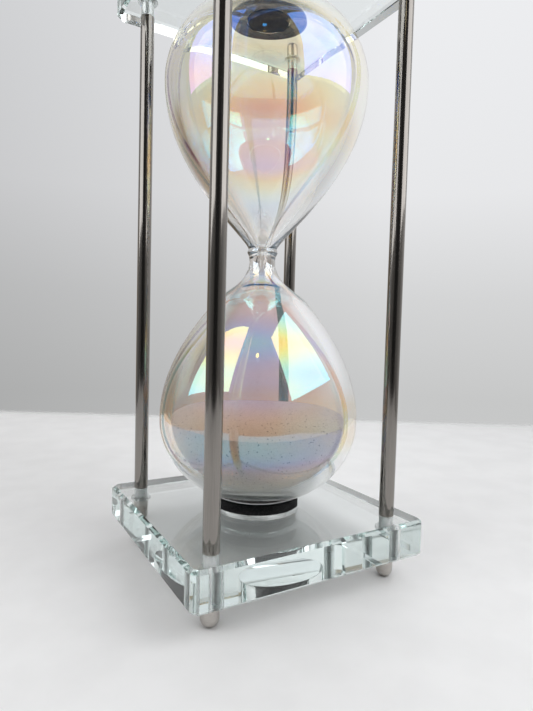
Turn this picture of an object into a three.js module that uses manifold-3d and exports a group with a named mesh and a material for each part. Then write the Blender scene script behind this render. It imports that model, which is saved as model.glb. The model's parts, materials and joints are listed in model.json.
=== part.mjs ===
// An hourglass: one blown glass body of two teardrop bulbs, held on foam pads between two thick square
// glass plates, which four steel rods clamp with studs, clear washers and dome nuts.
// Millimetres, +Z up. The origin is on the floor under the centre of the base, -Y is the front.
import * as THREE from "three";
import { mergeVertices } from "three/addons/utils/BufferGeometryUtils.js";
import Module from "manifold-3d";

const wasm = await Module();
wasm.setup();

// Driving dimensions
const PLATE_SIDE = 100;
const PLATE_THICKNESS = 14.5;
const PLATE_BEVEL = 1.3; // leg of the 45 degree bevel round both flat faces
const PLATE_CORNER = 2.4; // leg of the chamfer on the four upright corners
const ROD_OFFSET = 39; // rod axis to the object's axis, along X and along Y
const ROD_RADIUS = 3;
const ROD_LENGTH = 210; // also the clear height between the plates
const STUD_RADIUS = 2; // M4
const STUD_IN_ROD = 9;
const STUD_IN_NUT = 5.5;
const BORE_CLEARANCE = 0.3; // radial, round a stud in the rod and in the nut
const BORE_SPARE = 0.5; // depth of a blind hole past the stud's end
const PLATE_HOLE_RADIUS = 2.7;
const WASHER_RADIUS = 4.4;
const WASHER_THICKNESS = 1.2;
const NUT_RADIUS = 3.3;
const NUT_LENGTH = 9;
const NUT_TIP_RADIUS = 1.2; // flat at the end of the dome
const POCKET_RADIUS = 18.4;
const POCKET_DEPTH = 7;
const PAD_RADIUS = 18;
const PAD_RIM_HEIGHT = 3.9; // how far the pad stands out of its pocket
const PAD_DISH_RADIUS = 16.6; // of the hollow that the bulb's end presses into the pad
const PAD_CHAMFER = 0.5;
const BULB_RADIUS = 41.8;
const BULB_EQUATOR = 68.5; // height of each bulb's widest circle from the middle of the neck
const BULB_END = 35.6; // from that circle to the closed end
const NECK_RADIUS = 5.7;
const NECK_HALF_LENGTH = 1.5;
const ORIFICE_RADIUS = 1.3;
const WALL = 4.6;
const MOUTH_RADIUS = 9.5; // filling hole in the upper end
const STOPPER_LENGTH = 5;
const STOPPER_CHAMFER = 0.8;
const SAND_EDGE = 35.6; // where the sand meets the glass, above the base plate's upper face
const SAND_MOUND = 6.2;
const SAND_FLATNESS = 5; // the higher, the flatter the mound's top
const GAP = 0.1; // between faces that touch on the real object
const SEAT_GAP = 0.3; // between curved faces that touch

// Heights
const FOOT_HEIGHT = WASHER_THICKNESS + NUT_LENGTH + 2 * GAP;
const BASE_TOP = FOOT_HEIGHT + PLATE_THICKNESS;
const MIDDLE = BASE_TOP + ROD_LENGTH / 2;
const BULB_ROUND_END = BULB_EQUATOR + BULB_END;
const HALF_STACK = ROD_LENGTH / 2 + PLATE_THICKNESS; // middle to the outer face of a plate

// Facets round the axis
const FINE = 32;
const COARSE = 16;
const OUTLINE_STEPS = 8; // along each half of a bulb's outline

const CORNERS = {
  front_left: [-1, -1],
  front_right: [1, -1],
  back_left: [-1, 1],
  back_right: [1, 1],
};

const standard = (color, roughness, metalness, opacity = 1) =>
  new THREE.MeshStandardMaterial({
    color,
    roughness,
    metalness,
    opacity,
    transparent: opacity < 1,
  });
const MATERIALS = {
  plateGlass: standard(0xdfeeee, 0.03, 0, 0.35),
  bulbGlass: standard(0xe9e2f2, 0.03, 0, 0.35),
  steel: standard(0x8c857e, 0.32, 1),
  zinc: standard(0xa8a8a8, 0.45, 1),
  clearPlastic: standard(0xe6eaea, 0.3, 0, 0.6),
  foam: standard(0x0b0b0c, 0.9, 0),
  sand: standard(0xe4e2dd, 0.8, 0),
  rubber: standard(0x17191b, 0.7, 0),
};

// Profiles are lists of [radius, height] from the lower end of the axis to the upper one.
// A piece with a through hole has a closed profile.
function lathe(profile, segments, closed = false) {
  const points = profile.map(([r, z]) => new THREE.Vector2(r, z));
  if (closed) points.push(points[0].clone());
  return new THREE.LatheGeometry(points, segments).rotateX(Math.PI / 2);
}

function solid(geometry) {
  const bare = geometry.clone().deleteAttribute("normal").deleteAttribute("uv");
  const merged = mergeVertices(bare, 1e-4);
  return new wasm.Manifold(
    new wasm.Mesh({
      numProp: 3,
      vertProperties: merged.attributes.position.array,
      triVerts: new Uint32Array(merged.index.array),
    }),
  );
}

function geometryOf(manifold) {
  const mesh = manifold.getMesh();
  const geometry = new THREE.BufferGeometry();
  geometry.setAttribute(
    "position",
    new THREE.BufferAttribute(new Float32Array(mesh.vertProperties), 3),
  );
  geometry.setIndex(new THREE.BufferAttribute(new Uint32Array(mesh.triVerts), 1));
  geometry.computeVertexNormals();
  return geometry;
}

function cylinder(radius, from, to, segments) {
  return lathe([[0, from], [radius, from], [radius, to], [0, to]], segments);
}

// A square plate from z = 0 to its thickness, with bevelled edges, four rod holes, and a round pocket
// in its inner face (z = thickness) for the pad.
function plateGeometry() {
  const half = PLATE_SIDE / 2 - PLATE_BEVEL;
  const cut = PLATE_CORNER - PLATE_BEVEL * (2 - Math.SQRT2);
  const outline = new THREE.Shape([
    new THREE.Vector2(cut - half, -half),
    new THREE.Vector2(half - cut, -half),
    new THREE.Vector2(half, cut - half),
    new THREE.Vector2(half, half - cut),
    new THREE.Vector2(half - cut, half),
    new THREE.Vector2(cut - half, half),
    new THREE.Vector2(-half, half - cut),
    new THREE.Vector2(-half, cut - half),
  ]);
  const slab = new THREE.ExtrudeGeometry(outline, {
    depth: PLATE_THICKNESS - 2 * PLATE_BEVEL,
    bevelThickness: PLATE_BEVEL,
    bevelSize: PLATE_BEVEL,
    bevelSegments: 1,
  }).translate(0, 0, PLATE_BEVEL);
  const past = 1;
  const pocketFloor = PLATE_THICKNESS - POCKET_DEPTH;
  let plate = solid(slab).subtract(
    solid(cylinder(POCKET_RADIUS, pocketFloor, PLATE_THICKNESS + past, FINE)),
  );
  const hole = cylinder(PLATE_HOLE_RADIUS, -past, PLATE_THICKNESS + past, COARSE);
  for (const [sx, sy] of Object.values(CORNERS)) {
    const placed = hole.clone().translate(sx * ROD_OFFSET, sy * ROD_OFFSET, 0);
    plate = plate.subtract(solid(placed));
  }
  return geometryOf(plate);
}

// A steel rod with a tapped blind hole in each end, centred on z = 0.
function rodGeometry() {
  const half = ROD_LENGTH / 2 - GAP;
  const bore = STUD_RADIUS + BORE_CLEARANCE;
  const floor = half - STUD_IN_ROD - BORE_SPARE;
  const chamfer = 0.4;
  return lathe(
    [
      [0, -floor],
      [bore, -floor],
      [bore, -half],
      [ROD_RADIUS - chamfer, -half],
      [ROD_RADIUS, chamfer - half],
      [ROD_RADIUS, half - chamfer],
      [ROD_RADIUS - chamfer, half],
      [bore, half],
      [bore, floor],
      [0, floor],
    ],
    COARSE,
  );
}

// The end fittings stand on the outer face of the top plate at z = 0; the lower ones are turned over.
function studGeometry() {
  const low = -PLATE_THICKNESS - STUD_IN_ROD;
  const high = WASHER_THICKNESS + STUD_IN_NUT;
  const chamfer = 0.5;
  return lathe(
    [
      [0, low],
      [STUD_RADIUS - chamfer, low],
      [STUD_RADIUS, low + chamfer],
      [STUD_RADIUS, high - chamfer],
      [STUD_RADIUS - chamfer, high],
      [0, high],
    ],
    COARSE,
  );
}

function washerGeometry() {
  const bore = STUD_RADIUS + BORE_CLEARANCE;
  const high = GAP + WASHER_THICKNESS;
  return lathe(
    [[bore, GAP], [WASHER_RADIUS, GAP], [WASHER_RADIUS, high], [bore, high]],
    COARSE,
    true,
  );
}

// A dome nut: a cylinder that ends in a hemisphere with a small flat tip, on a blind tapped hole.
function nutGeometry() {
  const low = WASHER_THICKNESS + 2 * GAP;
  const high = low + NUT_LENGTH;
  const bore = STUD_RADIUS + BORE_CLEARANCE;
  const tipAngle = Math.acos(NUT_TIP_RADIUS / NUT_RADIUS);
  const centre = high - NUT_RADIUS * Math.sin(tipAngle);
  const steps = 4;
  const dome = Array.from({ length: steps + 1 }, (_, i) => {
    const angle = (tipAngle * i) / steps;
    return [NUT_RADIUS * Math.cos(angle), centre + NUT_RADIUS * Math.sin(angle)];
  });
  const floor = WASHER_THICKNESS + STUD_IN_NUT + BORE_SPARE;
  return lathe([[0, floor], [bore, floor], [bore, low], [NUT_RADIUS, low], ...dome, [0, high]], COARSE);
}

// One bulb's outline from the middle of the neck, as [radius, height]: a cubic curve to the widest
// circle, then a quarter of an ellipse to the closed end. The curve's handles stand at waistRadius and
// at the widest radius, at these shares of the widest circle's height.
function teardrop(neckRadius, waistRadius, radius, end, waistShare, bellyShare) {
  const curve = new THREE.CubicBezierCurve(
    new THREE.Vector2(neckRadius, NECK_HALF_LENGTH),
    new THREE.Vector2(waistRadius, BULB_EQUATOR * waistShare),
    new THREE.Vector2(radius, BULB_EQUATOR * bellyShare),
    new THREE.Vector2(radius, BULB_EQUATOR),
  );
  const taper = curve.getPoints(OUTLINE_STEPS).map((p) => [p.x, p.y]);
  const round = Array.from({ length: OUTLINE_STEPS }, (_, i) => {
    const angle = ((i + 1) / OUTLINE_STEPS) * (Math.PI / 2);
    return [radius * Math.cos(angle), BULB_EQUATOR + end * Math.sin(angle)];
  });
  round[OUTLINE_STEPS - 1][0] = 0;
  return [...taper, ...round];
}

const bulbOutside = () => teardrop(NECK_RADIUS, NECK_RADIUS * 0.45, BULB_RADIUS, BULB_END, 0.08, 0.47);

// One wall in from the outside, down to a narrow orifice through the thick glass of the neck.
const bulbInside = () =>
  teardrop(ORIFICE_RADIUS, ORIFICE_RADIUS, BULB_RADIUS - WALL, BULB_END - WALL, 0.172, 0.506);

const turnedOver = (profile) => profile.map(([r, z]) => [r, -z]).reverse();

// The glass body, centred on the middle of its neck, with its filling mouth in the upper end.
function glassGeometry() {
  const outside = bulbOutside();
  const inside = bulbInside();
  const outer = solid(lathe([...turnedOver(outside), ...outside], FINE));
  const inner = solid(lathe([...turnedOver(inside), ...inside], FINE));
  const mouth = solid(
    cylinder(MOUTH_RADIUS, BULB_ROUND_END - 2 * WALL, BULB_ROUND_END + WALL, FINE),
  );
  return geometryOf(outer.subtract(inner).subtract(mouth));
}

// The plug in the filling mouth, in the glass body's frame.
function stopperGeometry() {
  const radius = MOUTH_RADIUS - SEAT_GAP;
  const high = BULB_EQUATOR + BULB_END * Math.sqrt(1 - (MOUTH_RADIUS / BULB_RADIUS) ** 2);
  const low = high - STOPPER_LENGTH;
  const foot = [
    [0, low],
    [radius - STOPPER_CHAMFER, low],
    [radius, low + STOPPER_CHAMFER],
  ];
  return lathe([...foot, [radius, high], [0, high]], FINE);
}

// The heap of sand in the lower bulb, in the glass body's frame, with a shallow mound on top.
function sandGeometry() {
  const inside = turnedOver(bulbInside());
  const shrink = (BULB_RADIUS - WALL - SEAT_GAP) / (BULB_RADIUS - WALL);
  const inner = inside.map(([r, z]) => [r * shrink, -BULB_EQUATOR + (z + BULB_EQUATOR) * shrink]);
  const heap = solid(lathe([...inner, [0, -NECK_HALF_LENGTH]], FINE));
  const edge = SAND_EDGE - ROD_LENGTH / 2;
  const below = -BULB_ROUND_END - WALL;
  const steps = 6;
  const mound = Array.from({ length: steps + 1 }, (_, i) => {
    const share = 1 - i / steps;
    return [BULB_RADIUS * share, edge + SAND_MOUND * (1 - share ** SAND_FLATNESS)];
  });
  return geometryOf(heap.intersect(solid(lathe([[0, below], [BULB_RADIUS, below], ...mound], FINE))));
}

// A foam pad in the base plate's pocket, dished to the bulb's end. z = 0 is the plate's inner face.
function padGeometry() {
  const low = GAP - POCKET_DEPTH;
  const endTip = ROD_LENGTH / 2 - BULB_ROUND_END;
  const steps = 5;
  const dish = Array.from({ length: steps + 1 }, (_, i) => {
    const r = PAD_DISH_RADIUS * (1 - i / steps);
    const drop = BULB_END * Math.sqrt(1 - (r / BULB_RADIUS) ** 2);
    return [r, endTip + BULB_END - drop - SEAT_GAP];
  });
  const rim = [
    [PAD_RADIUS, low],
    [PAD_RADIUS, PAD_RIM_HEIGHT - PAD_CHAMFER],
    [PAD_RADIUS - PAD_CHAMFER, PAD_RIM_HEIGHT],
  ];
  return lathe([[0, low], ...rim, ...dish], FINE);
}

function place(parent, name, geometry, material, x = 0, y = 0, z = 0) {
  const mesh = new THREE.Mesh(geometry, material.clone());
  mesh.name = name;
  mesh.position.set(x, y, z);
  parent.add(mesh);
  return mesh;
}

function buildEnd(end, turned) {
  const group = new THREE.Group();
  group.position.z = MIDDLE;
  if (turned) group.rotation.x = Math.PI;
  const plateName = turned ? "base_plate" : "top_plate";
  const plate = place(group, plateName, plateGeometry(), MATERIALS.plateGlass, 0, 0, HALF_STACK);
  plate.rotation.x = Math.PI;
  const pad = place(group, `${end}_pad`, padGeometry(), MATERIALS.foam, 0, 0, ROD_LENGTH / 2);
  pad.rotation.x = Math.PI;
  for (const [corner, [sx, sy]] of Object.entries(CORNERS)) {
    const y = turned ? -sy : sy;
    const at = [sx * ROD_OFFSET, y * ROD_OFFSET, HALF_STACK];
    const nutName = turned ? `foot_nut_${corner}` : `cap_nut_${corner}`;
    place(group, `${end}_stud_${corner}`, studGeometry(), MATERIALS.zinc, ...at);
    place(group, `${end}_washer_${corner}`, washerGeometry(), MATERIALS.clearPlastic, ...at);
    place(group, nutName, nutGeometry(), MATERIALS.steel, ...at);
  }
  return group;
}

const hourglass = new THREE.Group();
hourglass.add(buildEnd("lower", true), buildEnd("upper", false));
for (const [corner, [sx, sy]] of Object.entries(CORNERS)) {
  place(hourglass, `rod_${corner}`, rodGeometry(), MATERIALS.steel, sx * ROD_OFFSET, sy * ROD_OFFSET, MIDDLE);
}
place(hourglass, "glass_body", glassGeometry(), MATERIALS.bulbGlass, 0, 0, MIDDLE);
place(hourglass, "stopper", stopperGeometry(), MATERIALS.rubber, 0, 0, MIDDLE);
place(hourglass, "sand", sandGeometry(), MATERIALS.sand, 0, 0, MIDDLE);

export default hourglass;
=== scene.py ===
"""An hourglass: an iridescent blown glass body with white sand, clamped on foam pads between two thick
bevelled glass plates by four steel rods with dome nuts. Metres, +Z up, -Y is the front of the base."""

import json
import math

import bpy
import numpy as np
from mathutils import Matrix, Vector

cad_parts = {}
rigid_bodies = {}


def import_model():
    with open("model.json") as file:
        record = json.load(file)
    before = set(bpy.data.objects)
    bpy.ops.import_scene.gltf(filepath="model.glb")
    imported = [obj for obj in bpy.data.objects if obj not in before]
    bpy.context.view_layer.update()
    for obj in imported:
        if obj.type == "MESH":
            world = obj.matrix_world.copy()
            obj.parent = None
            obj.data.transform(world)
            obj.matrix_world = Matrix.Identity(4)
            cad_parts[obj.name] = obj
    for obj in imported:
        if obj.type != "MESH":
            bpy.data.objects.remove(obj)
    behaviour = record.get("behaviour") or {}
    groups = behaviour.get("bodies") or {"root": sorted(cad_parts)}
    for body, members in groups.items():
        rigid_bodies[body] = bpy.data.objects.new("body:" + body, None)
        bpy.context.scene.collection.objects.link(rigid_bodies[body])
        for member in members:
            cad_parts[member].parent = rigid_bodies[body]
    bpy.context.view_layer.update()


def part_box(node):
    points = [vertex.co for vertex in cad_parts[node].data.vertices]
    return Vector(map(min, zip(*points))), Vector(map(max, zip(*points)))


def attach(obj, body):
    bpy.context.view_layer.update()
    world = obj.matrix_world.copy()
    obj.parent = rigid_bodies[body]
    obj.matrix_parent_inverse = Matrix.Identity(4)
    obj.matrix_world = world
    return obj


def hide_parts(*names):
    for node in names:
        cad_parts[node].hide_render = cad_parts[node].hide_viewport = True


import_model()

MM = 0.001
CORNERS = ("front_left", "front_right", "back_left", "back_right")
SIDE_OF = {"lower": -1, "upper": 1}  # from the middle of the neck

# ---------------------------------------------------------------- sizes, in metres
BASE_LOW, BASE_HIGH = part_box("base_plate")
TOP_LOW, TOP_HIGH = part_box("top_plate")
MIDDLE = (BASE_HIGH.z + TOP_LOW.z) / 2
PLATE_BEVEL = 1.3 * MM
PLATE_CORNER = 2.4 * MM
PLATE_HOLE = 2.7 * MM
DRILLED_EDGE = 0.35 * MM  # rounding of the pockets' and the rods' edges
SOFT_EDGE = 0.9 * MM  # rounding of the pads' and the stopper's edges
NUT_EDGE = 0.3 * MM
POCKET_RADIUS = 18.4 * MM
POCKET_DEPTH = 7.0 * MM
BULB_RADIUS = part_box("glass_body")[1].x
EQUATOR = 68.5 * MM  # height of a bulb's widest circle from the middle of the neck
BULB_END = 35.6 * MM  # from that circle to the closed end
WALL = 4.6 * MM
NECK_RADIUS = 5.7 * MM
NECK_HALF = 1.5 * MM
ORIFICE = 1.3 * MM
MOUTH_RADIUS = 9.5 * MM
GLASS_SEGMENTS = 192
HOLE_AT = 39 * MM  # each rod's and hole's distance from the middle, in x and in y
ROUND_WITHIN = 46 * MM  # every hole and the pocket lie within this distance of the axis
SAND_EDGE = BASE_HIGH.z + 35.6 * MM  # where the sand meets the glass
SAND_GAP = 0.12 * MM
LOW_SIDE = (-0.51, -0.86)  # the sand lies lowest on this side and on the opposite one
SIDE_LIFT, LOW_DROP = 2.8 * MM, 1.4 * MM  # how far its edge rises between them and drops at them
DISH_RADIUS = 16.6 * MM  # the hollow in a pad that the bulb's end sits in
DISH_RIM = 16.9 * MM
DISH_GAP = 0.3 * MM
THREAD_HOLE = 2.3 * MM  # radius of the tapped holes and of the washers' holes
ROD_HOLE_DEPTH = 10 * MM
NUT_HOLE_DEPTH = 6 * MM
NUT_TIP = 1.2 * MM
WASHER_CHAMFER = 0.25 * MM
THREAD_PITCH, THREAD_DEPTH = 0.7 * MM, 0.38 * MM

# The drawn neck's outside, in millimetres: (distance from the middle, radius), below and above the middle
WAIST_BELOW = [
    (0.0, 5.62), (1.5, 5.45), (3.5, 5.5), (5.0, 5.8), (6.4, 6.4), (8.2, 7.3), (10.2, 8.8), (11.6, 10.1),
    (12.6, 11.3), (13.6, 12.6), (15.2, 14.8), (17.4, 17.6),
]
LIP_ABOVE = [(0.0, 5.62), (0.8, 6.0), (1.6, 6.35), (2.4, 6.25), (3.1, 5.98), (3.9, 6.2)]


# ---------------------------------------------------------------- meshes
def mesh_object(name, vertices, faces, smooth=True, sharp_angle=35):
    """A new object from plain lists, smooth but for edges sharper than sharp_angle degrees."""
    mesh = bpy.data.meshes.new(name)
    mesh.from_pydata([tuple(v) for v in vertices], [], faces)
    mesh.validate()
    if smooth:
        mesh.polygons.foreach_set("use_smooth", [True] * len(mesh.polygons))
        mesh.set_sharp_from_angle(angle=math.radians(sharp_angle))
    obj = bpy.data.objects.new(name, mesh)
    bpy.context.scene.collection.objects.link(obj)
    return obj


def lathe(name, profile, segments, closed=False, offset=(0, 0, 0), radius_at=None, **shading):
    """Turns [(radius, height)] about Z. A closed profile makes a ring; otherwise its ends sit on the axis.
    radius_at(radius, height, angle) may move each point in or out."""
    vertices, rows = [], []
    ox, oy, oz = offset
    for r, z in profile:
        if r < 1e-7:
            rows.append([len(vertices)] * segments)
            vertices.append((ox, oy, oz + z))
            continue
        rows.append(list(range(len(vertices), len(vertices) + segments)))
        for i in range(segments):
            a = 2 * math.pi * i / segments
            rr = radius_at(r, z, a) if radius_at else r
            vertices.append((ox + rr * math.cos(a), oy + rr * math.sin(a), oz + z))
    faces = []
    pairs = list(zip(rows, rows[1:]))
    if closed:
        pairs.append((rows[-1], rows[0]))
    for low, high in pairs:
        for i in range(segments):
            j = (i + 1) % segments
            face = [low[i], low[j], high[j], high[i]]
            face = [v for n, v in enumerate(face) if v not in face[:n]]
            if len(face) > 2:
                faces.append(face)
    return mesh_object(name, vertices, faces, **shading)


def cubic(p0, p1, p2, p3, steps):
    """Points of a cubic Bezier curve through p0 and p3, both ends included."""
    t = np.linspace(0, 1, steps + 1)[:, None]
    p0, p1, p2, p3 = (np.array(p, float) for p in (p0, p1, p2, p3))
    return (1 - t) ** 3 * p0 + 3 * t * (1 - t) ** 2 * p1 + 3 * t**2 * (1 - t) * p2 + t**3 * p3


def rounded(corners, radius, steps=4):
    """A profile [(r, z)] with its inner corners rounded by arcs of about that radius."""
    out = [corners[0]]
    for before, at, after in zip(corners, corners[1:], corners[2:]):
        b, c, a = (np.array(p, float) for p in (before, at, after))
        u, v = (b - c), (a - c)
        reach = min(radius, np.linalg.norm(u) / 2, np.linalg.norm(v) / 2)
        start, end = c + u / np.linalg.norm(u) * reach, c + v / np.linalg.norm(v) * reach
        for t in np.linspace(0, 1, steps + 1):
            out.append(tuple((1 - t) ** 2 * start + 2 * t * (1 - t) * c + t**2 * end))
    out.append(corners[-1])
    return out


def teardrop(neck, waist, radius, end, waist_share, belly_share, steps=64):
    """Half of the glass body's outline as rows of (radius, height), from the neck to the closed end. The
    shares are the heights of the taper's two control points, as shares of EQUATOR."""
    taper = cubic(
        (neck, NECK_HALF),
        (waist, EQUATOR * waist_share),
        (radius, EQUATOR * belly_share),
        (radius, EQUATOR),
        steps,
    )
    angles = np.linspace(0, math.pi / 2, steps // 2 + 1)[1:]
    round_end = np.c_[radius * np.cos(angles), EQUATOR + end * np.sin(angles)]
    round_end[-1, 0] = 0
    return np.vstack([taper, round_end])


def through(points, steps=5):
    """A smooth curve through points (Catmull-Rom), both ends included."""
    p = np.array(points, float)
    p = np.vstack([2 * p[0] - p[1], p, 2 * p[-1] - p[-2]])
    out = [p[1]]
    for a, b, c, d in zip(p, p[1:], p[2:], p[3:]):
        square, cube = 2 * a - 5 * b + 4 * c - d, 3 * b - a - 3 * c + d
        for t in np.linspace(0, 1, steps + 1)[1:]:
            out.append(0.5 * (2 * b + (c - a) * t + square * t**2 + cube * t**3))
    return np.array(out)


def outside_half(neck):
    """The outside from the middle to a closed end: the drawn neck, then the teardrop."""
    half = teardrop(NECK_RADIUS, NECK_RADIUS * 0.45, BULB_RADIUS, BULB_END, 0.08, 0.47)
    drawn = through(neck)[:, ::-1] * MM
    return np.vstack([drawn, half[half[:, 1] > drawn[-1, 1] + 0.4 * MM]])


def both_halves(lower, upper):
    """A whole outline from the lower end to the upper one, in the part's frame."""
    whole = np.vstack([lower[::-1] * (1, -1), upper])
    whole[:, 1] += MIDDLE
    return whole


def inside_outline():
    """The whole inside, in the part's frame."""
    half = teardrop(ORIFICE, ORIFICE, BULB_RADIUS - WALL, BULB_END - WALL, 0.172, 0.506)
    return both_halves(half, half)


# ---------------------------------------------------------------- materials
def new_material(name):
    """A new material, its node tree and its Principled shader."""
    material = bpy.data.materials.new(name)
    material.use_nodes = True
    tree = material.node_tree
    shader = tree.nodes["Principled BSDF"]
    return material, tree, shader


def node(tree, kind, inputs=None, **settings):
    """Adds a node. inputs maps a socket's name or number to a value or to another node's output."""
    made = tree.nodes.new(kind)
    for key, value in settings.items():
        setattr(made, key, value)
    for key, value in (inputs or {}).items():
        if isinstance(value, bpy.types.NodeSocket):
            tree.links.new(value, made.inputs[key])
        else:
            made.inputs[key].default_value = value
    return made


def ramp(tree, factor, stops, interpolation="EASE"):
    """A colour ramp node: stops are (position, (r, g, b)) in linear colour."""
    made = node(tree, "ShaderNodeValToRGB", {"Fac": factor})
    made.color_ramp.interpolation = interpolation
    elements = made.color_ramp.elements
    while len(elements) > 1:
        elements.remove(elements[-1])
    for i, (position, colour) in enumerate(stops):
        element = elements[0] if i == 0 else elements.new(position)
        element.position = position
        element.color = (*colour, 1)
    return made.outputs["Color"]


def plate_glass():
    """Polished plate glass with a faint blue-green depth and a few smears."""
    material, tree, shader = new_material("plate_glass")
    shader.inputs["Base Color"].default_value = (0.985, 1.0, 0.995, 1)
    shader.inputs["Transmission Weight"].default_value = 1
    shader.inputs["IOR"].default_value = 1.52
    where = node(tree, "ShaderNodeTexCoord").outputs["Object"]
    smears = node(tree, "ShaderNodeTexNoise", {"Vector": where, "Scale": 60.0, "Detail": 4.0})
    rough = node(
        tree, "ShaderNodeMapRange",
        {"Value": smears.outputs["Fac"], "From Min": 0.45, "From Max": 0.8, "To Min": 0.0, "To Max": 0.035},
    )
    tree.links.new(rough.outputs["Result"], shader.inputs["Roughness"])
    absorb = node(tree, "ShaderNodeVolumeAbsorption", {"Color": (0.72, 0.93, 0.90, 1), "Density": 4.0})
    tree.links.new(absorb.outputs["Volume"], tree.nodes["Material Output"].inputs["Volume"])
    return material


def ground_glass():
    """The drilled walls of the rod holes."""
    material, tree, shader = new_material("ground_glass")
    shader.inputs["Base Color"].default_value = (0.9, 0.95, 0.94, 1)
    shader.inputs["Transmission Weight"].default_value = 1
    shader.inputs["IOR"].default_value = 1.52
    where = node(tree, "ShaderNodeTexCoord").outputs["Object"]
    rings = node(tree, "ShaderNodeTexNoise", {"Vector": where, "Scale": 900.0, "Detail": 3.0})
    rough = node(
        tree, "ShaderNodeMapRange", {"Value": rings.outputs["Fac"], "To Min": 0.3, "To Max": 0.6}
    )
    tree.links.new(rough.outputs["Result"], shader.inputs["Roughness"])
    return material


FILM_IOR = 2.4
FILM_TOP = 260  # the height in millimetres at the end of the film's colour ramp
FILM_MOST = 300  # the thickness in nanometres that the ramps show as white
# The film's thickness in nanometres against height above the floor in millimetres
FILM = [
    (25, 52), (34, 59), (42.5, 88), (48.5, 115), (53, 140), (58, 150), (62, 144), (67, 145),
    (72, 157), (79, 165), (85, 165), (93.7, 197), (99, 182), (105.5, 161), (111, 156), (117, 138),
    (124, 60), (132, 40), (139, 45), (146, 53), (152, 78), (158, 99), (164, 112), (170, 121),
    (175.8, 138), (180.5, 132), (187.6, 120), (193.7, 124), (200, 125), (220, 122), (228, 60), (231, 0),
]
# Where it is thicker or thinner: a point on the glass in millimetres, how far it reaches, and by how much
PATCHES = [
    ((-28, -20, 90), 26, 5), ((2, -38, 96), 26, -14), ((10, -40, 62), 34, -18), ((-38, -15, 69), 22, -9),
    ((6, -40, 192), 36, 5), ((-38, -14, 184), 26, -8), ((19, 33, 192), 48, 32),
]
# What it lets through besides: yellow and orange where it is of middling thickness, by nanometres
TINTS = [
    (0, (1, 1, 1)), (112, (1, 1, 1)), (122, (1, 0.98, 0.91)), (131, (1, 0.95, 0.82)), (141, (1, 0.88, 0.68)),
    (150, (1, 0.92, 0.82)), (160, (1, 1, 1)),
]


def film_thickness(tree, where):
    """The film's thickness in nanometres at a point of the glass: bands by height, patches and waves."""
    height = node(tree, "ShaderNodeSeparateXYZ", {0: where}).outputs["Z"]
    share = node(tree, "ShaderNodeMapRange", {"Value": height, "From Max": FILM_TOP * MM}).outputs["Result"]
    grey = ramp(tree, share, [(z / FILM_TOP, (t / FILM_MOST,) * 3) for z, t in FILM], "CARDINAL")
    thickness = node(tree, "ShaderNodeMath", {0: grey, 1: float(FILM_MOST)}, operation="MULTIPLY")
    for point, reach, more in PATCHES:
        centre = [c * MM for c in point]
        gap = node(tree, "ShaderNodeVectorMath", {0: where, 1: centre}, operation="DISTANCE")
        bump = node(
            tree, "ShaderNodeMapRange",
            {"Value": gap.outputs["Value"], "From Min": 0.0, "From Max": reach * MM,
             "To Min": float(more), "To Max": 0.0},
            interpolation_type="SMOOTHERSTEP",
        )
        thickness = node(tree, "ShaderNodeMath", {0: thickness.outputs[0], 1: bump.outputs["Result"]})
    waves = node(tree, "ShaderNodeTexNoise", {"Vector": where, "Scale": 22.0, "Detail": 1.5})
    uneven = node(
        tree, "ShaderNodeMapRange",
        {"Value": waves.outputs["Fac"], "From Min": 0.3, "From Max": 0.7, "To Min": -5.0, "To Max": 5.0},
    )
    return node(tree, "ShaderNodeMath", {0: thickness.outputs[0], 1: uneven.outputs["Result"]}).outputs[0]


def blown_glass(name, film):
    """Clear blown glass, with the iridescent film if film is true."""
    material, tree, shader = new_material(name)
    shader.inputs["Base Color"].default_value = (0.99, 0.995, 0.99, 1)
    shader.inputs["Transmission Weight"].default_value = 1
    shader.inputs["Roughness"].default_value = 0.0
    shader.inputs["IOR"].default_value = 1.5
    if film:
        where = node(tree, "ShaderNodeTexCoord").outputs["Object"]
        thickness = film_thickness(tree, where)
        share = node(tree, "ShaderNodeMath", {0: thickness, 1: float(FILM_MOST)}, operation="DIVIDE")
        tint = ramp(tree, share.outputs[0], [(t / FILM_MOST, colour) for t, colour in TINTS], "LINEAR")
        tree.links.new(tint, shader.inputs["Base Color"])
        # From inside the glass the renderer counts the film's path against the glass instead of the air
        inside = node(tree, "ShaderNodeNewGeometry").outputs["Backfacing"]
        longer = node(tree, "ShaderNodeMath", {0: inside, 1: 0.5, 2: 1.0}, operation="MULTIPLY_ADD")
        path = node(tree, "ShaderNodeMath", {0: thickness, 1: longer.outputs[0]}, operation="MULTIPLY")
        shader.inputs["Thin Film IOR"].default_value = FILM_IOR
        tree.links.new(path.outputs[0], shader.inputs["Thin Film Thickness"])
    return material


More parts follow.
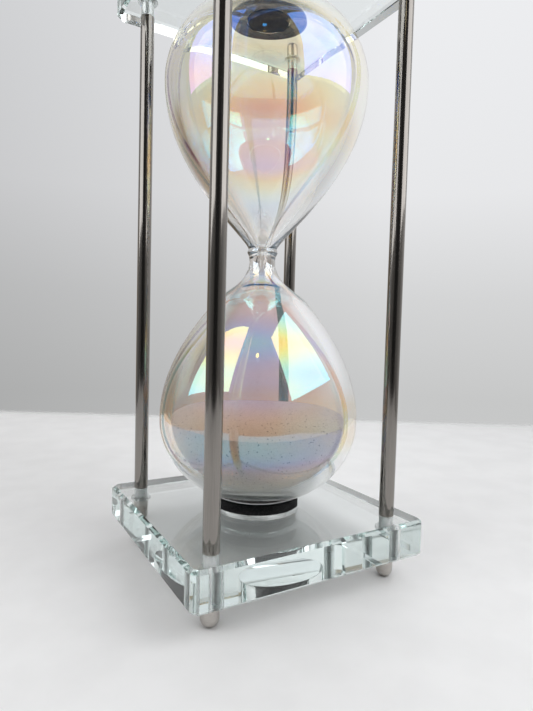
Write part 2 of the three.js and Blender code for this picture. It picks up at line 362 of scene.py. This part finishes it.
def brushed_steel(name, colour, roughness, along):
    """Steel with fine lines along the piece if along is true, otherwise round it."""
    material, tree, shader = new_material(name)
    shader.inputs["Metallic"].default_value = 1
    where = node(tree, "ShaderNodeTexCoord").outputs["Object"]
    stretch = (1.0, 1.0, 0.012) if along else (0.05, 0.05, 1.0)
    stretched = node(tree, "ShaderNodeVectorMath", {0: where, 1: stretch}, operation="MULTIPLY").outputs[0]
    lines = node(
        tree, "ShaderNodeTexNoise", {"Vector": stretched, "Scale": 7000.0, "Detail": 3.0}
    ).outputs["Fac"]
    shade = ramp(tree, lines, [(0.3, [c * 0.9 for c in colour]), (0.7, [min(1, c * 1.08) for c in colour])])
    tree.links.new(shade, shader.inputs["Base Color"])
    rough = node(
        tree, "ShaderNodeMapRange", {"Value": lines, "To Min": roughness - 0.04, "To Max": roughness + 0.05}
    )
    tree.links.new(rough.outputs["Result"], shader.inputs["Roughness"])
    bump = node(tree, "ShaderNodeBump", {"Strength": 0.12, "Distance": 0.00002, "Height": lines})
    tree.links.new(bump.outputs["Normal"], shader.inputs["Normal"])
    return material


def foam():
    """Matte black closed-cell foam."""
    material, tree, shader = new_material("foam")
    where = node(tree, "ShaderNodeTexCoord").outputs["Object"]
    cells = node(tree, "ShaderNodeTexVoronoi", {"Vector": where, "Scale": 1400.0}).outputs["Distance"]
    shade = ramp(tree, cells, [(0.1, (0.022, 0.022, 0.023)), (0.6, (0.006, 0.006, 0.007))])
    tree.links.new(shade, shader.inputs["Base Color"])
    shader.inputs["Roughness"].default_value = 0.95
    bump = node(tree, "ShaderNodeBump", {"Strength": 0.6, "Distance": 0.0003, "Height": cells})
    tree.links.new(bump.outputs["Normal"], shader.inputs["Normal"])
    return material


def rubber():
    """Matte black moulded rubber."""
    material, tree, shader = new_material("rubber")
    where = node(tree, "ShaderNodeTexCoord").outputs["Object"]
    grain = node(tree, "ShaderNodeTexNoise", {"Vector": where, "Scale": 900.0, "Detail": 4.0}).outputs["Fac"]
    shade = ramp(tree, grain, [(0.3, (0.02, 0.021, 0.023)), (0.7, (0.045, 0.046, 0.05))])
    tree.links.new(shade, shader.inputs["Base Color"])
    shader.inputs["Roughness"].default_value = 0.55
    bump = node(tree, "ShaderNodeBump", {"Strength": 0.3, "Distance": 0.0001, "Height": grain})
    tree.links.new(bump.outputs["Normal"], shader.inputs["Normal"])
    return material


def sand_material():
    """White grains with a few dark ones."""
    material, tree, shader = new_material("sand")
    where = node(tree, "ShaderNodeTexCoord").outputs["Object"]
    grains = node(tree, "ShaderNodeTexVoronoi", {"Vector": where, "Scale": 2600.0})
    shade = ramp(
        tree, grains.outputs["Color"],
        [(0.0, (0.10, 0.095, 0.09)), (0.08, (0.26, 0.25, 0.24)), (0.115, (0.82, 0.81, 0.79)),
         (0.4, (0.89, 0.88, 0.86)), (1.0, (0.94, 0.93, 0.92))],
    )
    tree.links.new(shade, shader.inputs["Base Color"])
    shader.inputs["Roughness"].default_value = 0.8
    bump = node(
        tree, "ShaderNodeBump", {"Strength": 0.5, "Distance": 0.0002, "Height": grains.outputs["Distance"]}
    )
    tree.links.new(bump.outputs["Normal"], shader.inputs["Normal"])
    return material


def clear_plastic():
    """Slightly hazy clear plastic."""
    material, tree, shader = new_material("clear_plastic")
    shader.inputs["Base Color"].default_value = (0.93, 0.95, 0.95, 1)
    shader.inputs["Transmission Weight"].default_value = 0.85
    shader.inputs["IOR"].default_value = 1.49
    where = node(tree, "ShaderNodeTexCoord").outputs["Object"]
    haze = node(tree, "ShaderNodeTexNoise", {"Vector": where, "Scale": 500.0, "Detail": 2.0})
    rough = node(tree, "ShaderNodeMapRange", {"Value": haze.outputs["Fac"], "To Min": 0.12, "To Max": 0.35})
    tree.links.new(rough.outputs["Result"], shader.inputs["Roughness"])
    return material


MATERIALS = {
    "plate": plate_glass(),
    "ground": ground_glass(),
    "film": blown_glass("film_glass", True),
    "clear": blown_glass("clear_glass", False),
    "rod": brushed_steel("rod_steel", (0.29, 0.27, 0.25), 0.12, True),
    "nut": brushed_steel("nut_steel", (0.55, 0.52, 0.49), 0.3, False),
    "stud": brushed_steel("stud_steel", (0.55, 0.55, 0.55), 0.35, False),
    "foam": foam(),
    "rubber": rubber(),
    "sand": sand_material(),
    "plastic": clear_plastic(),
}


def finish_piece(obj, slot, *nodes, materials):
    """Gives a piece its materials, and puts it in the place of its CAD nodes."""
    for name in materials:
        obj.data.materials.append(MATERIALS[name])
    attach(obj, "root")
    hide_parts(*nodes)


# ---------------------------------------------------------------- plates
def cut(target, cutter):
    """Cuts the cutter's shape out of the target and removes the cutter."""
    modifier = target.modifiers.new("cut", "BOOLEAN")
    modifier.operation, modifier.solver, modifier.object = "DIFFERENCE", "EXACT", cutter
    evaluated = target.evaluated_get(bpy.context.evaluated_depsgraph_get())
    mesh = bpy.data.meshes.new_from_object(evaluated)
    target.modifiers.clear()
    target.data = mesh
    bpy.data.objects.remove(cutter)


def plate(name, low, high, pocket_up):
    """A bevelled square slab of glass with four drilled holes and a round pocket in its inner face."""

    def ring(inset, z):
        """The square outline with its corners cut off, moved in by inset on all eight sides."""
        h = high.x - inset
        near = h - PLATE_CORNER + inset * (2 - math.sqrt(2))
        outline = ((-near, -h), (near, -h), (h, -near), (h, near))
        outline += tuple((-x, -y) for x, y in outline)
        return [(x, y, z) for x, y in outline]

    b = PLATE_BEVEL
    rings = [ring(b, low.z), ring(0, low.z + b), ring(0, high.z - b), ring(b, high.z)]
    vertices = [v for r in rings for v in r]
    faces = [list(range(7, -1, -1)), list(range(24, 32))]
    for k in range(3):
        for i in range(8):
            j = (i + 1) % 8
            faces.append([8 * k + i, 8 * k + j, 8 * k + 8 + j, 8 * k + 8 + i])
    slab = mesh_object(name, vertices, faces, smooth=False)
    inner = high.z if pocket_up else low.z
    floor = inner - POCKET_DEPTH if pocket_up else inner + POCKET_DEPTH
    past = inner + MM if pocket_up else inner - MM
    ends = sorted((floor, past))
    pocket = [(0, ends[0]), (POCKET_RADIUS, ends[0]), (POCKET_RADIUS, ends[1]), (0, ends[1])]
    cut(slab, lathe("pocket_cutter", rounded(pocket, DRILLED_EDGE), 128))
    for corner_name in CORNERS:
        rod_low, rod_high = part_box(f"rod_{corner_name}")
        x, y = (rod_low.x + rod_high.x) / 2, (rod_low.y + rod_high.y) / 2
        drill = [(0, low.z - MM), (PLATE_HOLE, low.z - MM), (PLATE_HOLE, high.z + MM), (0, high.z + MM)]
        cut(slab, lathe("drill", drill, 48, offset=(x, y, 0)))
    for face in slab.data.polygons:
        centre = face.center
        from_hole = math.hypot(abs(centre.x) - HOLE_AT, abs(centre.y) - HOLE_AT)
        face.material_index = int(from_hole < PLATE_HOLE * 1.02 and abs(face.normal.z) < 0.5)
        face.use_smooth = abs(face.normal.z) < 0.999 and math.hypot(centre.x, centre.y) < ROUND_WITHIN
    slab.data.set_sharp_from_angle(angle=math.radians(30))
    finish_piece(slab, "plate_glass", name.replace("glass_", ""), materials=("plate", "ground"))


plate("glass_base_plate", BASE_LOW, BASE_HIGH, True)
plate("glass_top_plate", TOP_LOW, TOP_HIGH, False)


# ---------------------------------------------------------------- glass body, stopper and sand
def glass_body():
    """Both bulbs and the neck as one wall, open at the top mouth, with the film on its outside only."""
    outside = both_halves(outside_half(WAIST_BELOW), outside_half(LIP_ABOVE)[1:])
    inside = inside_outline()
    reach = np.sqrt(1 - (MOUTH_RADIUS / BULB_RADIUS) ** 2)
    mouth_out = MIDDLE + EQUATOR + BULB_END * reach
    reach = np.sqrt(1 - (MOUTH_RADIUS / (BULB_RADIUS - WALL)) ** 2)
    mouth_in = MIDDLE + EQUATOR + (BULB_END - WALL) * reach
    outside = [tuple(p) for p in outside if p[1] <= mouth_out]
    inside = [tuple(p) for p in inside if p[1] <= mouth_in]
    profile = outside + [(MOUTH_RADIUS, mouth_out), (MOUTH_RADIUS, mouth_in)] + inside[::-1]
    body = lathe("bulbs", profile, GLASS_SEGMENTS, sharp_angle=60)
    for i, face in enumerate(body.data.polygons):
        face.material_index = int(i // GLASS_SEGMENTS >= len(outside))  # clear from the mouth's edge inwards
    finish_piece(body, "bulb_glass", "glass_body", materials=("film", "clear"))


glass_body()


def stopper():
    """The plug in the mouth."""
    low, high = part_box("stopper")
    r = high.x
    profile = rounded([(0, low.z), (r, low.z), (r, high.z), (0, high.z)], SOFT_EDGE)
    made = lathe("rubber_stopper", profile, 96)
    finish_piece(made, "stopper_rubber", "stopper", materials=("rubber",))


stopper()


def sand():
    """The heap in the lower bulb, flat in the middle and a little higher at two sides."""
    low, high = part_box("sand")
    shrink = 1 - SAND_GAP / (BULB_RADIUS - WALL)
    heap = [
        (r * shrink, MIDDLE - EQUATOR + (z - MIDDLE + EQUATOR) * shrink)
        for r, z in inside_outline() if z < SAND_EDGE
    ]
    rim = heap[-1][0]
    mound = [(rim * s, SAND_EDGE + (high.z - SAND_EDGE) * (1 - s**4)) for s in np.linspace(1, 0, 40)]
    profile = heap + mound
    profile[-1] = (0, profile[-1][1])
    made = lathe("sand_heap", profile, 160)
    for vertex in made.data.vertices:
        x, y, z = vertex.co
        out = math.hypot(x, y)
        facing = (x * LOW_SIDE[0] + y * LOW_SIDE[1]) / max(out, MM)
        near_top = min(1, max(0, 1 - (SAND_EDGE - z) / (3 * MM)))
        lift = (SIDE_LIFT - (SIDE_LIFT + LOW_DROP) * facing**2) * min(1, out / rim) ** 2
        vertex.co.z += lift * near_top
    finish_piece(made, "sand", "sand", materials=("sand",))


sand()


# ---------------------------------------------------------------- pads
def pad(end):
    """A foam pad, dished to the bulb's end."""
    low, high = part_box(f"{end}_pad")
    side = SIDE_OF[end]
    sunk, rim = (low.z, high.z) if side < 0 else (high.z, low.z)
    r = high.x
    out = -side  # towards the middle
    tip = MIDDLE + side * (EQUATOR + BULB_END)
    dish = []
    for s in np.linspace(1, 0, 16):
        rr = DISH_RADIUS * s
        drop = BULB_END * (1 - math.sqrt(1 - (rr / BULB_RADIUS) ** 2))
        dish.append((rr, tip + out * (drop - DISH_GAP)))
    profile = rounded([(0, sunk), (r, sunk), (r, rim), (DISH_RIM, rim)], SOFT_EDGE) + dish
    profile[-1] = (0, profile[-1][1])
    if side > 0:
        profile = profile[::-1]
    made = lathe(f"foam_{end}_pad", profile, 128)
    finish_piece(made, "black_foam", f"{end}_pad", materials=("foam",))


pad("lower")
pad("upper")


# ---------------------------------------------------------------- rods, nuts, washers and studs
def upright(node_name):
    """An upright round CAD piece: its centre in x and y, its lowest and highest points and its radius."""
    low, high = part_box(node_name)
    return (low.x + high.x) / 2, (low.y + high.y) / 2, low, high, (high.x - low.x) / 2


def rod(corner):
    """A rod with a plain hole in each end for its stud."""
    x, y, low, high, r = upright(f"rod_{corner}")
    floor, ceiling = low.z + ROD_HOLE_DEPTH, high.z - ROD_HOLE_DEPTH
    profile = rounded(
        [(0, floor), (THREAD_HOLE, floor), (THREAD_HOLE, low.z), (r, low.z), (r, high.z),
         (THREAD_HOLE, high.z), (THREAD_HOLE, ceiling), (0, ceiling)], DRILLED_EDGE
    )
    made = lathe(f"steel_rod_{corner}", profile, 96, offset=(x, y, 0))
    finish_piece(made, "rod_steel", f"rod_{corner}", materials=("rod",))


def nut(kind, corner):
    """A dome nut with a small flat tip. The foot nuts point down and the cap nuts up."""
    x, y, low, high, r = upright(f"{kind}_{corner}")
    length = high.z - low.z
    tip_angle = math.acos(NUT_TIP / r)
    centre = length - r * math.sin(tip_angle)
    dome = [(r * math.cos(a), centre + r * math.sin(a)) for a in np.linspace(0, tip_angle, 14)]
    hole = [(0, NUT_HOLE_DEPTH), (THREAD_HOLE, NUT_HOLE_DEPTH), (THREAD_HOLE, 0)]
    profile = hole + [(r - NUT_EDGE, 0), (r, NUT_EDGE)] + dome + [(0, length)]
    if kind == "foot_nut":
        profile = [(a, high.z - b) for a, b in profile][::-1]
    else:
        profile = [(a, low.z + b) for a, b in profile]
    made = lathe(f"steel_{kind}_{corner}", profile, 72, offset=(x, y, 0))
    finish_piece(made, "nut_steel", f"{kind}_{corner}", materials=("nut",))


def washer(end, corner):
    """A flat ring with all its edges chamfered."""
    x, y, low, high, r = upright(f"{end}_washer_{corner}")
    c, inner = WASHER_CHAMFER, THREAD_HOLE
    profile = [(inner, low.z + c), (inner + c, low.z), (r - c, low.z), (r, low.z + c),
               (r, high.z - c), (r - c, high.z), (inner + c, high.z), (inner, high.z - c)]
    made = lathe(f"plastic_{end}_washer_{corner}", profile, 72, closed=True, offset=(x, y, 0))
    finish_piece(made, "clear_plastic", f"{end}_washer_{corner}", materials=("plastic",))


def thread(radius, z, angle):
    """The radius of a screw thread at a height and an angle."""
    turn = (z / THREAD_PITCH - angle / (2 * math.pi)) % 1
    return radius - THREAD_DEPTH * abs(2 * turn - 1)


def stud(end, corner):
    """A threaded stud, joining a rod's end to its nut."""
    x, y, low, high, r = upright(f"{end}_stud_{corner}")
    steps = int((high.z - low.z) / (THREAD_PITCH / 8))
    profile = [(0, low.z)] + [(r, z) for z in np.linspace(low.z, high.z, steps + 1)] + [(0, high.z)]
    made = lathe(f"steel_{end}_stud_{corner}", profile, 32, offset=(x, y, 0), radius_at=thread)
    finish_piece(made, "stud_steel", f"{end}_stud_{corner}", materials=("stud",))


for corner in CORNERS:
    rod(corner)

for corner in CORNERS:
    nut("foot_nut", corner)
    nut("cap_nut", corner)
    for end in ("lower", "upper"):
        washer(end, corner)
        stud(end, corner)


# ---------------------------------------------------------------- stage, lights and camera
YAW, PITCH, ROLL = (math.radians(d) for d in (30.50, 3.13, 1.54))
CAMERA_AT = Vector((-0.1102, -0.1927, 0.1003))
FOCAL = 26.27
TABLE_HALF = 0.42
AWAY = Vector((math.sin(YAW), math.cos(YAW), 0))  # level, from the camera to the object
RIGHT = Vector((math.cos(YAW), -math.sin(YAW), 0))


def stage():
    """A pale table top, square to the camera, whose edges fade into the background."""
    corners = [(AWAY * a + RIGHT * b) * TABLE_HALF for a, b in ((-1, -1), (-1, 1), (1, 1), (1, -1))]
    floor = mesh_object("table", corners, [(0, 1, 2, 3)], smooth=False)
    material, tree, shader = new_material("table_top")
    where = node(tree, "ShaderNodeTexCoord").outputs["Object"]
    grain = node(tree, "ShaderNodeTexNoise", {"Vector": where, "Scale": 40.0, "Detail": 5.0}).outputs["Fac"]
    shade = ramp(tree, grain, [(0.3, (0.80, 0.795, 0.79)), (0.7, (0.84, 0.835, 0.83))])
    tree.links.new(shade, shader.inputs["Base Color"])
    shader.inputs["Roughness"].default_value = 0.45
    reach = []
    for axis in (AWAY, RIGHT):
        along = node(tree, "ShaderNodeVectorMath", {0: where, 1: tuple(axis)}, operation="DOT_PRODUCT")
        reach.append(node(tree, "ShaderNodeMath", {0: along.outputs["Value"]}, operation="ABSOLUTE"))
    furthest = node(
        tree, "ShaderNodeMath", {0: reach[0].outputs[0], 1: reach[1].outputs[0], 2: 0.05},
        operation="SMOOTH_MAX",
    )
    fade = node(
        tree, "ShaderNodeMapRange", {"Value": furthest.outputs[0], "From Min": 0.325, "From Max": 0.36},
        interpolation_type="SMOOTHSTEP",
    ).outputs["Result"]
    clear = node(tree, "ShaderNodeBsdfTransparent")
    mix = node(tree, "ShaderNodeMixShader", {0: fade, 1: shader.outputs[0], 2: clear.outputs[0]})
    tree.links.new(mix.outputs[0], tree.nodes["Material Output"].inputs["Surface"])
    floor.data.materials.append(material)


stage()


def spot_at(right, back, height):
    """A point of the room, in millimetres to the right of the object, back towards the camera, and up."""
    return (RIGHT * right - AWAY * back) * MM + Vector((0, 0, height * MM))


def panel(name, near, far, low, high, radiance, roll=0, colour=(0.97, 0.985, 1.0)):
    """An upright rectangle of light over the floor line from near to far, facing the object. It is turned in
    its own plane about its near lower corner by roll degrees, which lifts the far end."""
    a, b = spot_at(*near, low), spot_at(*far, low)
    across, up = (b - a), Vector((0, 0, (high - low) * MM))
    turn = Matrix.Rotation(math.radians(roll), 3, across.cross(up))
    across, up = turn @ across, turn @ up
    light = bpy.data.lights.new(name, "AREA")
    light.shape = "RECTANGLE"
    light.size, light.size_y = across.length, up.length
    light.energy = radiance * math.pi * across.length * up.length
    light.color = colour
    obj = bpy.data.objects.new(name, light)
    obj.location = a + (across + up) / 2
    out = across.cross(up).normalized()  # has to point away from the object: the light shines along -out
    if out.dot(obj.location) < 0:
        out, across = -out, -across
    obj.matrix_world = Matrix.Translation(obj.location) @ Matrix(
        (across.normalized(), up.normalized(), out)
    ).transposed().to_4x4()
    bpy.context.scene.collection.objects.link(obj)


panel("right_panel", (275, 357), (583, -95), 208, 1000, 1.9, roll=7)
panel("left_panel", (-188, 284), (-750, 44), 212, 860, 1.9)


def lamp():
    """A small bright round lamp overhead."""
    light = bpy.data.lights.new("lamp", "AREA")
    light.shape = "DISK"
    light.size = 0.024
    light.energy = 0.005
    light.color = (1.0, 0.9, 0.6)
    obj = bpy.data.objects.new("lamp", light)
    obj.location = spot_at(-17, 294, 433)
    obj.rotation_mode = "QUATERNION"
    obj.rotation_quaternion = (obj.location - Vector((0, 0, MIDDLE))).to_track_quat("Z", "Y")
    bpy.context.scene.collection.objects.link(obj)


lamp()


LIT_BY_FILL = ("table", "steel_", "plastic_", "foam_", "rubber_", "sand_heap")


def fill():
    """Soft light from above on everything but the glass, which neither shows it nor stops it."""
    light = bpy.data.lights.new("fill", "AREA")
    light.shape = "SQUARE"
    light.size = 0.9
    light.energy = 3.8
    obj = bpy.data.objects.new("fill", light)
    obj.location = spot_at(60, 300, 1350)
    obj.rotation_mode = "QUATERNION"
    obj.rotation_quaternion = obj.location.to_track_quat("Z", "Y")
    obj.visible_glossy = False
    bpy.context.scene.collection.objects.link(obj)
    opaque = bpy.data.collections.new("lit_by_fill")
    for piece in bpy.data.objects:
        if piece.name.startswith(LIT_BY_FILL):
            opaque.objects.link(piece)
    obj.light_linking.receiver_collection = opaque
    obj.light_linking.blocker_collection = opaque


fill()


def world():
    """A pale wall all round for the camera, with painted shade darkening it towards the left. For light and
    reflections the room is dark behind the camera and overhead on the camera's side, and warm and brownish
    to the left of the wall."""
    made = bpy.data.worlds.new("studio")
    bpy.context.scene.world = made
    made.use_nodes = True
    tree = made.node_tree
    background = tree.nodes["Background"]
    way = node(tree, "ShaderNodeTexCoord").outputs["Generated"]

    def towards(vector):
        """How far a direction points along a unit vector, from -1 to 1."""
        return node(
            tree, "ShaderNodeVectorMath", {0: way, 1: tuple(vector)}, operation="DOT_PRODUCT"
        ).outputs["Value"]

    def spread(value, low, high):
        """A value from low to high as 0 to 1."""
        made = node(tree, "ShaderNodeMapRange", {"Value": value, "From Min": low, "From Max": high})
        return made.outputs["Result"]

    def mixed(factor, first, second, blend="MIX"):
        made = node(tree, "ShaderNodeMix", {0: factor}, data_type="RGBA", blend_type=blend)
        for socket, value in ((6, first), (7, second)):
            if isinstance(value, bpy.types.NodeSocket):
                tree.links.new(value, made.inputs[socket])
            else:
                made.inputs[socket].default_value = value
        return made.outputs[2]

    up = towards((0, 0, 1))
    wall = ramp(
        tree, spread(up, -0.3, 0.6),
        [(0.0, (0.56, 0.57, 0.57)), (0.2, (0.57, 0.575, 0.575)), (0.4, (0.66, 0.665, 0.67)),
         (0.6, (0.80, 0.805, 0.82)), (1.0, (0.86, 0.87, 0.89))],
        "LINEAR",
    )
    # Painted shadow: the wall darkens towards the left for the shade that falls on it there, which also dims
    # the room's light from that side
    side = ramp(
        tree, spread(towards(RIGHT), -0.5, 0.2), [(0.0, (0.72, 0.72, 0.72)), (1.0, (1, 1, 1))], "LINEAR"
    )
    wall = mixed(1.0, wall, side, "MULTIPLY")
    dark = ramp(
        tree, spread(towards(AWAY), -1.0, 1.0),
        [(0.0, (0.05, 0.05, 0.05)), (0.03, (0.06, 0.06, 0.06)), (0.08, (0.26, 0.255, 0.25)),
         (0.25, (0.36, 0.355, 0.35)), (0.5, (0.65, 0.65, 0.65)), (0.75, (1, 1, 1))],
    )
    room = mixed(1.0, wall, dark, "MULTIPLY")
    ceiling = ramp(tree, spread(up, 0.15, 0.55), [(0.0, (1, 1, 1)), (1.0, (0.22, 0.22, 0.22))])
    room = mixed(spread(towards(AWAY), 0.3, 0.0), room, mixed(1.0, room, ceiling, "MULTIPLY"))
    left = math.radians(42)
    warm_way = (AWAY * math.cos(left) - RIGHT * math.sin(left) + Vector((0, 0, 0.15))).normalized()
    warm = ramp(tree, spread(towards(warm_way), 0.80, 0.92), [(0.0, (0, 0, 0)), (1.0, (1, 1, 1))])
    low = ramp(tree, spread(up, 0.05, 0.3), [(0.0, (1, 1, 1)), (1.0, (0.25, 0.25, 0.25))])
    room = mixed(mixed(1.0, warm, low, "MULTIPLY"), room, (0.30, 0.25, 0.19, 1))
    seen = node(tree, "ShaderNodeLightPath").outputs["Is Camera Ray"]
    tree.links.new(mixed(seen, room, wall), background.inputs["Color"])


world()


def camera():
    """Where the photographer stood, with a slight roll."""
    forward = AWAY * math.cos(PITCH) - Vector((0, 0, math.sin(PITCH)))
    up = RIGHT.cross(forward)
    x = RIGHT * math.cos(ROLL) + up * math.sin(ROLL)
    y = up * math.cos(ROLL) - RIGHT * math.sin(ROLL)
    data = bpy.data.cameras.new("camera")
    data.lens = FOCAL
    data.clip_start = 0.01
    obj = bpy.data.objects.new("camera", data)
    axes = Matrix((x, y, -forward)).transposed().to_4x4()
    obj.matrix_world = Matrix.Translation(CAMERA_AT) @ axes
    bpy.context.scene.collection.objects.link(obj)
    bpy.context.scene.camera = obj


camera()

scene = bpy.context.scene
scene.view_settings.view_transform = "Standard"
scene.cycles.max_bounces = 48
scene.cycles.transmission_bounces = 48
scene.cycles.glossy_bounces = 32
scene.cycles.transparent_max_bounces = 16
